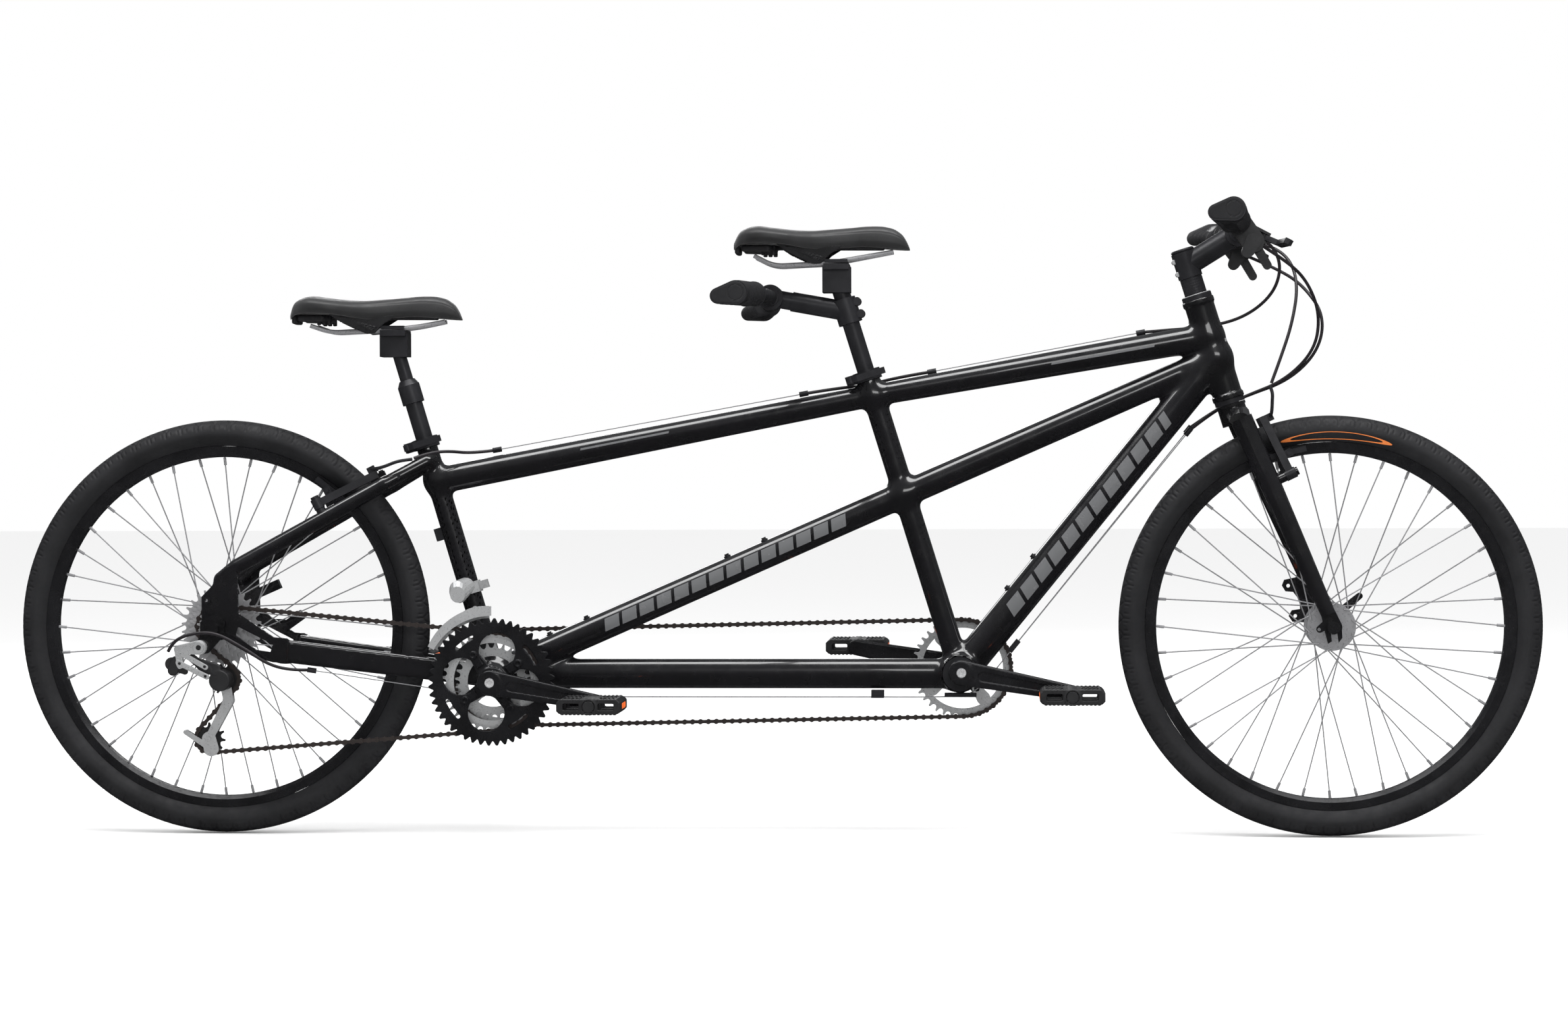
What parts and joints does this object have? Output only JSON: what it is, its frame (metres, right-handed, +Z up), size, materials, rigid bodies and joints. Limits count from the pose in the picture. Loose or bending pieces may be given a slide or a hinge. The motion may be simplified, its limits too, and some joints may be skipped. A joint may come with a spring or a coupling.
{
  "type": "tandem bicycle",
  "caption": "Tandem bicycle with a gloss black welded frame, twin saddles and flat handlebars, timing and drive chains, rim brakes and spoked wheels with slick treaded tyres.",
  "frame": {"origin": "on the ground, midway between the wheels' outer edges and in the bicycle's middle plane", "axes": "+X forward, +Y to the riders' left, +Z up"},
  "size_m": [2.3998, 0.5912, 0.9755],
  "materials": {
    "black_alloy": "satin black anodised",
    "black_plastic": "satin black plastic",
    "black_rim": "satin black",
    "cable_black": "black cable housing",
    "cassette_steel": "plated steel",
    "chain_steel": "oiled dark steel",
    "frame_paint": "gloss black paint",
    "rail_steel": "bright steel",
    "saddle_cover": "satin synthetic leather",
    "silver_alloy": "polished silver",
    "spoke_steel": "stainless",
    "tyre_rubber": "matt black tread rubber"
  },
  "bodies": {
    "frame": {"head_tube": "frame_paint", "top_tubes": "frame_paint", "down_tube": "frame_paint", "diagonal_tubes": "frame_paint", "seat_tubes": "frame_paint", "boom_tube": "frame_paint", "chainstays": "frame_paint", "seatstays": "frame_paint", "rear_dropouts": "frame_paint", "frame_fittings": "black_alloy", "bearing_cups": "black_alloy", "chains": "chain_steel", "front_derailleur": "silver_alloy", "rear_derailleur": "silver_alloy", "frame_cables": "cable_black", "steering_cables": "cable_black"},
    "steering": {"fork_crown": "frame_paint", "fork_blades": "frame_paint", "stem": "black_alloy", "captain_handlebar": "black_alloy", "control_pods": "black_plastic", "front_brake_cable": "cable_black"},
    "front_wheel": {"front_tyre": "tyre_rubber", "front_rim": "black_rim", "front_hub": "spoke_steel"},
    "rear_wheel": {"rear_tyre": "tyre_rubber", "rear_rim": "black_rim", "rear_hub": "spoke_steel"},
    "freewheel": {"cassette": "cassette_steel"},
    "rear_crankset": {"rear_crank_arms": "black_alloy", "outer_chainring": "black_alloy", "inner_chainrings": "silver_alloy"},
    "front_crankset": {"front_crank_arms": "black_alloy", "front_timing_ring": "silver_alloy"},
    "rear_right_pedal": {"rear_right_pedal": "black_plastic"},
    "rear_left_pedal": {"rear_left_pedal": "black_plastic"},
    "front_right_pedal": {"front_right_pedal": "black_plastic"},
    "front_left_pedal": {"front_left_pedal": "black_plastic"},
    "captain_seat": {"captain_seatpost": "black_alloy", "captain_saddle": "saddle_cover", "captain_saddle_rails": "rail_steel", "stoker_stem": "black_alloy", "stoker_handlebar": "black_alloy"},
    "stoker_post": {"stoker_post_tube": "black_alloy"},
    "stoker_seat": {"stoker_post_shaft": "black_alloy", "stoker_saddle": "saddle_cover", "stoker_saddle_rails": "rail_steel"},
    "front_brake_lever": {"front_brake_lever": "black_alloy"},
    "rear_brake_lever": {"rear_brake_lever": "black_alloy"},
    "front_right_brake_arm": {"front_right_brake_arm": "black_alloy"},
    "front_left_brake_arm": {"front_left_brake_arm": "black_alloy"},
    "rear_right_brake_arm": {"rear_right_brake_arm": "black_alloy"},
    "rear_left_brake_arm": {"rear_left_brake_arm": "black_alloy"},
    "derailleur_cage": {"derailleur_cage": "silver_alloy"},
    "guide_pulley": {"guide_pulley": "black_plastic"},
    "tension_pulley": {"tension_pulley": "black_plastic"},
    "front_derailleur_cage": {"front_derailleur_cage": "silver_alloy"},
    "captain_seat_lever": {"captain_seat_lever": "black_alloy"},
    "stoker_seat_lever": {"stoker_seat_lever": "black_alloy"}
  },
  "joints": [
    {"name": "steering", "type": "hinge", "parent": "frame", "child": "steering", "pos_m": [0.7164, 0, 0.6817], "axis": [-0.2958, 0, 0.9552], "range_deg": [-60, 60], "deforming": ["steering_cables"]},
    {"name": "front_wheel_spin", "type": "hinge", "parent": "steering", "child": "front_wheel", "pos_m": [0.872, 0, 0.328], "axis": [0, 1, 0], "continuous": true},
    {"name": "rear_wheel_spin", "type": "hinge", "parent": "frame", "child": "rear_wheel", "pos_m": [-0.872, 0, 0.328], "axis": [0, 1, 0], "continuous": true},
    {"name": "crank_spin", "type": "hinge", "parent": "frame", "child": "rear_crankset", "pos_m": [-0.437, 0, 0.243], "axis": [0, 1, 0], "continuous": true, "deforming": ["chains"]},
    {"name": "front_crank_spin", "type": "hinge", "parent": "frame", "child": "front_crankset", "pos_m": [0.29943, 0, 0.259], "axis": [0, 1, 0], "continuous": true, "deforming": ["chains"]},
    {"name": "freewheel_spin", "type": "hinge", "parent": "frame", "child": "freewheel", "pos_m": [-0.872, 0, 0.328], "axis": [0, 1, 0], "continuous": true, "deforming": ["chains"]},
    {"name": "rear_right_pedal_spin", "type": "hinge", "parent": "rear_crankset", "child": "rear_right_pedal", "pos_m": [-0.26979, -0.131, 0.21231], "axis": [0, 1, 0], "continuous": true},
    {"name": "rear_left_pedal_spin", "type": "hinge", "parent": "rear_crankset", "child": "rear_left_pedal", "pos_m": [-0.60421, 0.131, 0.27369], "axis": [0, 1, 0], "continuous": true},
    {"name": "front_right_pedal_spin", "type": "hinge", "parent": "front_crankset", "child": "front_right_pedal", "pos_m": [0.46909, -0.131, 0.22786], "axis": [0, 1, 0], "continuous": true},
    {"name": "front_left_pedal_spin", "type": "hinge", "parent": "front_crankset", "child": "front_left_pedal", "pos_m": [0.12976, 0.131, 0.29014], "axis": [0, 1, 0], "continuous": true},
    {"name": "captain_seat_height", "type": "slide", "parent": "frame", "child": "captain_seat", "axis": [-0.2958, 0, 0.9553], "range_m": [-0.06, 0.04]},
    {"name": "stoker_seat_height", "type": "slide", "parent": "frame", "child": "stoker_post", "axis": [-0.286, 0, 0.9582], "range_m": [-0.035, 0.04]},
    {"name": "stoker_suspension", "type": "slide", "parent": "stoker_post", "child": "stoker_seat", "axis": [-0.286, 0, 0.9582], "range_m": [-0.03, 0], "stiffness_N_per_m": 20000},
    {"name": "rear_brake_lever_pull", "type": "hinge", "parent": "steering", "child": "rear_brake_lever", "pos_m": [0.76057, -0.128, 0.92618], "axis": [0.4695, 0, 0.8829], "range_deg": [-16, 0], "stiffness_Nm_per_rad": 1.5},
    {"name": "front_brake_lever_pull", "type": "hinge", "parent": "steering", "child": "front_brake_lever", "pos_m": [0.76057, 0.128, 0.92618], "axis": [0.4695, 0, 0.8829], "range_deg": [0, 16], "stiffness_Nm_per_rad": 1.5},
    {"name": "front_right_brake_pivot", "type": "hinge", "parent": "steering", "child": "front_right_brake_arm", "pos_m": [0.8085, -0.042, 0.5654], "axis": [0.9001, 0, 0.4356], "range_deg": [-2.4, 0]},
    {"name": "front_left_brake_pivot", "type": "hinge", "parent": "steering", "child": "front_left_brake_arm", "pos_m": [0.8085, 0.042, 0.5654], "axis": [0.9001, 0, 0.4356], "range_deg": [0, 2.4]},
    {"name": "rear_right_brake_pivot", "type": "hinge", "parent": "frame", "child": "rear_right_brake_arm", "pos_m": [-0.7125, -0.051, 0.5233], "axis": [-0.4522, 0, 0.8919], "range_deg": [0, 2.4]},
    {"name": "rear_left_brake_pivot", "type": "hinge", "parent": "frame", "child": "rear_left_brake_arm", "pos_m": [-0.7125, 0.051, 0.5233], "axis": [-0.4522, 0, 0.8919], "range_deg": [-2.4, 0]},
    {"name": "cage_swing", "type": "hinge", "parent": "frame", "child": "derailleur_cage", "pos_m": [-0.862, -0.049, 0.2465], "axis": [0, 1, 0], "range_deg": [-12, 12], "stiffness_Nm_per_rad": 2, "deforming": ["chains"]},
    {"name": "guide_pulley_spin", "type": "hinge", "parent": "derailleur_cage", "child": "guide_pulley", "pos_m": [-0.862, -0.049, 0.2465], "axis": [0, 1, 0], "continuous": true, "deforming": ["chains"]},
    {"name": "tension_pulley_spin", "type": "hinge", "parent": "derailleur_cage", "child": "tension_pulley", "pos_m": [-0.88744, -0.049, 0.1529], "axis": [0, 1, 0], "continuous": true, "deforming": ["chains"]},
    {"name": "front_derailleur_shift", "type": "slide", "parent": "frame", "child": "front_derailleur_cage", "axis": [0, 1, 0], "range_m": [-0.0075, 0.0075], "deforming": ["chains"]},
    {"name": "captain_lever_open", "type": "hinge", "parent": "frame", "child": "captain_seat_lever", "pos_m": [0.12609, -0.018, 0.71364], "axis": [-0.2958, 0, 0.9553], "range_deg": [-140, 0]},
    {"name": "stoker_lever_open", "type": "hinge", "parent": "frame", "child": "stoker_seat_lever", "pos_m": [-0.57494, -0.018, 0.61079], "axis": [-0.286, 0, 0.9582], "range_deg": [-140, 0]}
  ],
  "couplings": [
    {"joint": "front_right_brake_pivot", "follows": "front_brake_lever_pull", "ratio": -0.15},
    {"joint": "front_left_brake_pivot", "follows": "front_brake_lever_pull", "ratio": 0.15},
    {"joint": "rear_right_brake_pivot", "follows": "rear_brake_lever_pull", "ratio": -0.15},
    {"joint": "rear_left_brake_pivot", "follows": "rear_brake_lever_pull", "ratio": 0.15},
    {"joint": "front_crank_spin", "follows": "crank_spin", "ratio": 1},
    {"joint": "freewheel_spin", "follows": "crank_spin", "ratio": 2.2353},
    {"joint": "guide_pulley_spin", "follows": "crank_spin", "ratio": -3.4545},
    {"joint": "tension_pulley_spin", "follows": "crank_spin", "ratio": 3.4545}
  ]
}
